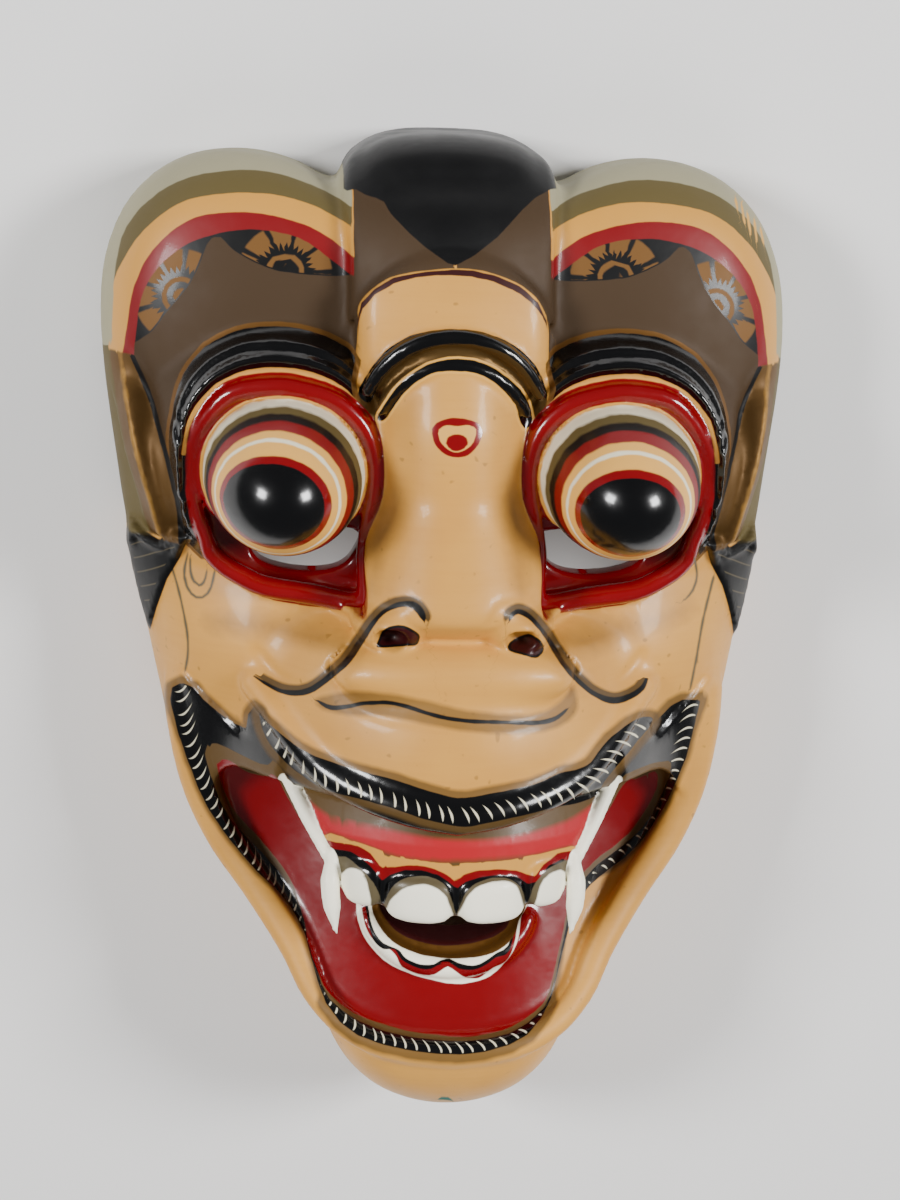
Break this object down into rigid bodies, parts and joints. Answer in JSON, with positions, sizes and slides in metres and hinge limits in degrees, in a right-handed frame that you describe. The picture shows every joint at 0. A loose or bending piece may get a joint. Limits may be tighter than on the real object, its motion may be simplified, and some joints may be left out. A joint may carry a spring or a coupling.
{
  "type": "barong mask",
  "caption": "Carved, painted wooden barong mask: bulging eyes over viewing slits, open fanged mouth, domed crown between round lobes, hollow back. Lies face up.",
  "frame": {"origin": "middle of the bounding box's bottom, in the plane of the flat back rim", "axes": "+X to the right seen from the front, +Y up the face to the crown, +Z out of the face; the mask lies face up"},
  "size_m": [0.1922, 0.2858, 0.096],
  "materials": {
    "painted_wood": "hand-painted satin and gloss enamel over carved wood"
  },
  "bodies": {
    "root": {"carved_mask": "painted_wood"}
  },
  "joints": []
}
